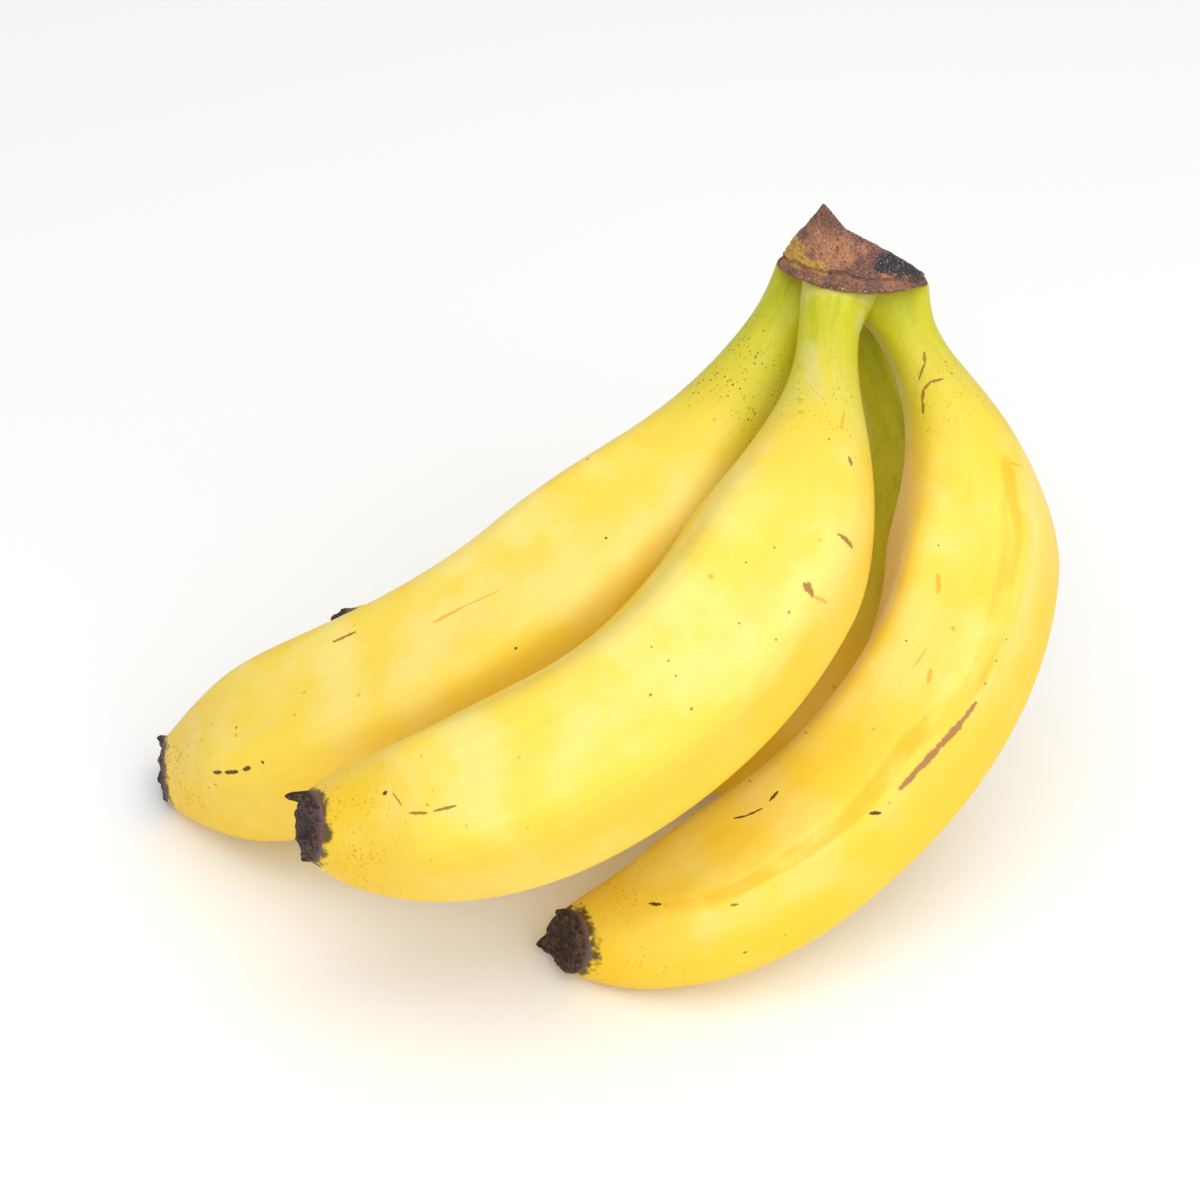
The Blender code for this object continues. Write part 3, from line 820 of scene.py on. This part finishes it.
def peel_material(key, colours):
    """Waxy peel: lime neck to yellow body and golden tip, clouds, fibres, freckles and scars, and
    painted shade that turns the downward faces golden.
    """
    look = LOOKS[key]
    material, tree, shader = start_material("peel_" + key, 0.45, 0.32)
    place = attribute(tree, "place", "Vector")
    share = attribute(tree, "share")
    fibre_place = vectors(tree, "MULTIPLY", place, (1.0, 1.0, 0.06))
    fibres = noise(tree, fibre_place, 0.0016, 3.0, 0.6)
    cloud = noise(tree, place, 0.022, 3.0, 0.55)
    cloud_place = vectors(tree, "MULTIPLY", place, (1.0, 1.0, 0.35))
    streak = noise(tree, cloud_place, 0.009, 2.0, 0.5)
    drift = times(tree, sums(tree, "SUBTRACT", streak, 0.5), 0.16)
    drifted = sums(tree, "ADD", share, drift)
    body = blend(tree, between(tree, cloud, 0.4, 0.62), colours.body, colours.pale)
    gold = times(tree, between(tree, streak, 0.35, 0.75), look["gold"])
    tip = between(tree, drifted, 0.8, 1.0, 0.0, 0.75)
    gold = sums(tree, "MAXIMUM", gold, tip)
    crest = times(tree, between(tree, attribute(tree, "ridge"), 0.6, 1.0), look["gold"] * 0.8)
    gold = sums(tree, "MAXIMUM", gold, crest)
    body = blend(tree, gold, body, colours.golden)
    # Painted shade: the faces that turn down, shifted a little by the streak noise, are blended to
    # the golden colour so they read darker than the lit tops.
    upward = sums(tree, "ADD", attribute(tree, "upward"), drift)
    painted_shade = between(tree, upward, 0.0, 0.6, 0.55, 0.0)
    body = blend(tree, painted_shade, body, colours.golden)
    mottle = noise(tree, cloud_place, 0.0045, 4.0, 0.65)
    furrow = between(tree, fibres, 0.3, 0.7, 0.35, 0.8)
    furrow = times(tree, between(tree, mottle, 0.42, 0.72), furrow)
    neck = blend(tree, furrow, colours.lime, colours.green)
    body = blend(tree, between(tree, drifted, *look["lime"], 1.0, 0.0), body, neck)
    body = blend(tree, between(tree, fibres, 0.3, 0.7, 0.0, 0.07), body, colours.rust)
    small = effect(tree, freckle_group, Place=place, **SMALL_FRECKLES)
    patchy = between(tree, noise(tree, place, 0.0065, 3.0, 0.6), 0.42, 0.58)
    small = times(tree, small, patchy)
    near_neck = times(tree, between(tree, drifted, 0.05, 0.12), between(tree, drifted, 0.24, 0.16))
    near_neck = times(tree, near_neck, look["neck_dots"])
    near_tip = between(tree, drifted, 0.84, 0.98, 0.0, look["tip_dots"])
    zone = sums(tree, "MAXIMUM", near_neck, near_tip)
    small = times(tree, small, sums(tree, "ADD", zone, 0.02))
    large = effect(tree, freckle_group, Place=place, **LARGE_FRECKLES)
    body = blend(tree, times(tree, large, 0.7), body, colours.rust)
    body = blend(tree, small, body, colours.brown)
    height = times(tree, fibres, 0.3)
    shift = centred_noise(tree, place, 0.0008, 2.0, 0.6)
    for kind, (weight, sunk, pinch) in MARK_KINDS.items():
        grow, unsettle = SOFT_FACTORS if kind in SOFT_KINDS else CLEAR_FACTORS
        lines = []
        for *spots, hundredths in MARKS[key].get(kind, ()):
            width = hundredths / 100.0
            lines.append((unbent(key, *spots[:2]), unbent(key, *spots[-2:]), grow * width / 1000.0,
                          unsettle * width / 1000.0, pinch if len(spots) > 2 else 0.0))
        mask = line_mask(tree, place, shift, lines)
        if mask is not None and kind in SOFT_KINDS:
            mask = times(tree, mask, between(tree, mottle, 0.36, 0.6, 0.25, 1.0))
        if mask is not None:
            body = blend(tree, times(tree, mask, weight), body, getattr(colours, kind))
            height = sums(tree, "SUBTRACT", height, times(tree, mask, sunk))
    ragged = sums(tree, "SUBTRACT", noise(tree, place, 0.0022, 3.0, 0.65), 0.5)
    ragged = sums(tree, "ADD", share, times(tree, ragged, 0.03))
    collar = between(tree, ragged, 0.002, 0.008, 0.22, 0.0)
    body = blend(tree, collar, body, colours.chalk)
    burnt = between(tree, ragged, 0.993, 1.0)
    body = blend(tree, times(tree, burnt, 0.9), body, colours.black)
    rough = between(tree, noise(tree, place, 0.004, 3.0), 0.3, 0.7, 0.4, 0.56)
    pores = noise(tree, place, 0.0007, 2.0, 0.6)
    height = sums(tree, "ADD", height, times(tree, pores, 0.35))
    finish_material(tree, shader, body, rough, height, 0.25, 0.0002)
    return material


# Patches on the crown by colour: each is a line from one place to the right and up to
# another, and its half width, all in millimetres
PATCHES = {
    "olive": ((-13.4, 4.6, -12.2, 2.2, 2.3), (-11.6, 2.2, -7.2, 1.2, 1.5)),
    "slate": ((4.2, 4.0, 8.8, 3.4, 2.2), (5.6, 5.4, 11.0, 2.6, 1.9), (3.4, 3.6, 5.0, 3.4, 1.6)),
}
PATCH_WOBBLE = 0.003


def crown_material(colours):
    """Dry cut tissue: russet and umber granules, an olive and a black patch, sap on the rim, and
    painted shade along the crease above the rim.
    """
    material, tree, shader = start_material("dry_crown", 0.85, 0.25)
    place = attribute(tree, "place", "Vector")
    parts = put(tree, "ShaderNodeSeparateXYZ", {"Vector": place})
    height = parts.outputs["Z"]
    front = put(tree, "ShaderNodeCombineXYZ", {"X": parts.outputs["X"], "Z": height}).outputs[0]
    at_front = between(tree, parts.outputs["Y"], -0.004, -0.001, 1.0, 0.0)
    grain = noise(tree, place, 0.0006, 3.0, 0.7)
    fine = noise(tree, place, 0.00028, 2.0, 0.6)
    broad = noise(tree, place, 0.005, 3.0, 0.6)
    shift = centred_noise(tree, place, 0.0022, 3.0, 0.65)
    body = blend(tree, between(tree, broad, 0.4, 0.62), colours.russet, colours.umber)
    top = sums(tree, "ADD", height, times(tree, broad, 0.006))
    top = between(tree, top, 0.0085, 0.0135)
    body = blend(tree, times(tree, top, 0.85), body, colours.umber)
    for kind, patches in PATCHES.items():
        lines = []
        for x, z, end_x, end_z, width in patches:
            lines.append(((x / 1000.0, 0.0, z / 1000.0), (end_x / 1000.0, 0.0, end_z / 1000.0),
                          width / 1000.0, PATCH_WOBBLE, 0.0))
        mask = line_mask(tree, front, shift, lines)
        body = blend(tree, times(tree, mask, at_front), body, getattr(colours, kind))
    ragged = sums(tree, "ADD", height, times(tree, grain, 0.0014))
    rim = between(tree, ragged, 0.0008, 0.0018, 1.0, 0.0)
    body = blend(tree, times(tree, rim, 0.5), body, colours.umber)
    # Painted shade: the crease above the lower rim is darkened towards the colour of the pits.
    crease = between(tree, attribute(tree, "crease"), 0.1, 1.0, 0.0, 0.5)
    body = blend(tree, crease, body, colours.pits)
    body = blend(tree, between(tree, grain, 0.5, 0.66, 0.0, 0.7), body, colours.pits)
    body = blend(tree, between(tree, fine, 0.56, 0.7, 0.0, 0.45), body, colours.sap)
    sap = effect(tree, freckle_group, Place=place, **SAP_SPECKS)
    low = between(tree, ragged, -0.0012, 0.0006, 1.0, 0.2)
    body = blend(tree, times(tree, sap, low), body, colours.sap)
    rough = between(tree, grain, 0.3, 0.7, 0.7, 0.95)
    relief = sums(tree, "SUBTRACT", times(tree, fine, 0.5), grain)
    finish_material(tree, shader, body, rough, relief, 0.9, 0.0005)
    return material


# Colour in the depth of the blossom ends' folds
FOLD_BLACK = (0.012, 0.009, 0.009)


def blossom_material(colours):
    """Dry blossom end: plum-grey rim, brown folds and nearly black middle."""
    material, tree, shader = start_material("dry_blossom", 0.8, 0.3)
    place = attribute(tree, "place", "Vector")
    grain = noise(tree, place, 0.0008, 3.0, 0.7)
    broad = noise(tree, place, 0.0014, 4.0, 0.7)
    height = put(tree, "ShaderNodeSeparateXYZ", {"Vector": place}).outputs["Z"]
    body = blend(tree, between(tree, broad, 0.42, 0.6), colours.dark, colours.brown)
    rim = sums(tree, "ADD", height, times(tree, broad, 0.0015))
    rim = between(tree, rim, 0.001, 0.0022, 1.0, 0.0)
    body = blend(tree, times(tree, rim, 0.8), body, colours.plum)
    flat = vectors(tree, "LENGTH", vectors(tree, "MULTIPLY", place, (1.0, 1.0, 0.0)), out=1)
    middle = between(tree, flat, 0.002, 0.0055, 0.75, 0.0)
    body = blend(tree, middle, body, colours.dark)
    body = blend(tree, between(tree, grain, 0.36, 0.48, 0.55, 0.0), body, colours.brown)
    body = blend(tree, between(tree, grain, 0.52, 0.68, 0.0, 0.7), body, FOLD_BLACK)
    rough = between(tree, grain, 0.3, 0.7, 0.6, 0.9)
    finish_material(tree, shader, body, rough, grain, 0.8, 0.0004)
    return material


# Operators

class HAND_OT_bananas(Operator):
    """Make the four bananas"""
    bl_idname = "hand.bananas"
    bl_label = "Bananas"

    def execute(self, context):
        settings = context.scene.hand_bananas
        for key in BANANAS:
            points, *layers = map(with_poles, banana_grid(key, settings))
            values = dict(zip(("place", "share", "ridge", "upward"), layers))
            grid_piece(key + "_banana", points, settings.around, values,
                       peel_material(key, settings), "banana_" + key)
        return {"FINISHED"}


class HAND_OT_crown(Operator):
    """Make the dry cut crown"""
    bl_idname = "hand.crown"
    bl_label = "Crown"

    def execute(self, context):
        settings = context.scene.hand_crown
        points, places, crease = crown_grid(settings)
        grid_piece("cut_crown", points, settings.around, {"place": places, "crease": crease},
                   crown_material(settings), "crown")
        return {"FINISHED"}


class HAND_OT_blossoms(Operator):
    """Make the dry blossom ends"""
    bl_idname = "hand.blossoms"
    bl_label = "Blossom ends"

    def execute(self, context):
        settings = context.scene.hand_blossoms
        material = blossom_material(settings)
        for key in BANANAS:
            points, place = map(with_poles, blossom_grid(key, settings))
            grid_piece(key + "_blossom_end", points, settings.around, {"place": place},
                       material, "blossom_" + key)
        return {"FINISHED"}


class HAND_OT_stage(Operator):
    """Make the plain floor, the soft lights and the camera"""
    bl_idname = "hand.stage"
    bl_label = "Stage"

    def execute(self, context):
        settings = context.scene.hand_stage
        reach = settings.floor_reach
        mesh = bpy.data.meshes.new("floor")
        sides = ((-reach, -reach), (reach, -reach), (reach, reach), (-reach, reach))
        mesh.from_pydata([(x, y, -FLOOR_DROP) for x, y in sides], [], [(0, 1, 2, 3)])
        material, _, shader = start_material("plain_floor", 0.9, 0.1)
        shader.inputs["Base Color"].default_value = (*settings.floor_colour, 1.0)
        mesh.materials.append(material)
        floor = bpy.data.objects.new("floor", mesh)
        context.scene.collection.objects.link(floor)
        for name, place in LIGHT_PLACES.items():
            add_light(name + "_light", place, getattr(settings, name + "_power"))
        world = bpy.data.worlds.new("surround")
        world.use_nodes = True
        sky = world.node_tree.nodes["Background"]
        sky.inputs["Color"].default_value = (1.0, 1.0, 1.0, 1.0)
        sky.inputs["Strength"].default_value = settings.surround
        context.scene.world = world
        context.scene.view_settings.view_transform = "Standard"
        data = bpy.data.cameras.new("camera")
        data.lens = CAMERA_LENS
        data.sensor_width = SENSOR_WIDTH
        camera = bpy.data.objects.new("camera", data)
        camera.location = CAMERA_PLACE
        camera.rotation_euler = aimed(CAMERA_PLACE, CAMERA_AIM)
        context.scene.collection.objects.link(camera)
        context.scene.camera = camera
        return {"FINISHED"}


def aimed(place, target):
    """The turn that points a camera or light from a place at a target, level."""
    return (Vector(target) - Vector(place)).to_track_quat("-Z", "Y").to_euler()


def add_light(name, place, power):
    """A square soft light aimed at the hand."""
    data = bpy.data.lights.new(name, "AREA")
    data.size = LIGHT_SIZE
    data.energy = power
    light = bpy.data.objects.new(name, data)
    light.location = place
    light.rotation_euler = aimed(place, LIGHT_TARGET)
    bpy.context.scene.collection.objects.link(light)


class HAND_PT_panel(Panel):
    """Lists the makers of the hand of bananas"""
    bl_idname = "HAND_PT_panel"
    bl_label = "Hand of bananas"
    bl_space_type = "VIEW_3D"
    bl_region_type = "UI"
    bl_category = "Bananas"

    def draw(self, context):
        for maker, (label, group) in zip(MAKERS, SETTINGS.items()):
            box = self.layout.box()
            box.operator(maker.bl_idname)
            for name in group.__annotations__:
                box.prop(getattr(context.scene, label), name)


SETTINGS = {"hand_bananas": BananaSettings, "hand_crown": CrownSettings,
            "hand_blossoms": BlossomSettings, "hand_stage": StageSettings}
MAKERS = (HAND_OT_bananas, HAND_OT_crown, HAND_OT_blossoms, HAND_OT_stage)


def register():
    for name, group in SETTINGS.items():
        bpy.utils.register_class(group)
        setattr(bpy.types.Scene, name, PointerProperty(type=group))
    for item in (*MAKERS, HAND_PT_panel):
        bpy.utils.register_class(item)


def unregister():
    for item in (HAND_PT_panel, *MAKERS):
        bpy.utils.unregister_class(item)
    for name, group in SETTINGS.items():
        delattr(bpy.types.Scene, name)
        bpy.utils.unregister_class(group)


def main():
    register()
    bpy.ops.hand.bananas()
    bpy.ops.hand.crown()
    bpy.ops.hand.blossoms()
    bpy.ops.hand.stage()


if __name__ == "__main__":
    main()
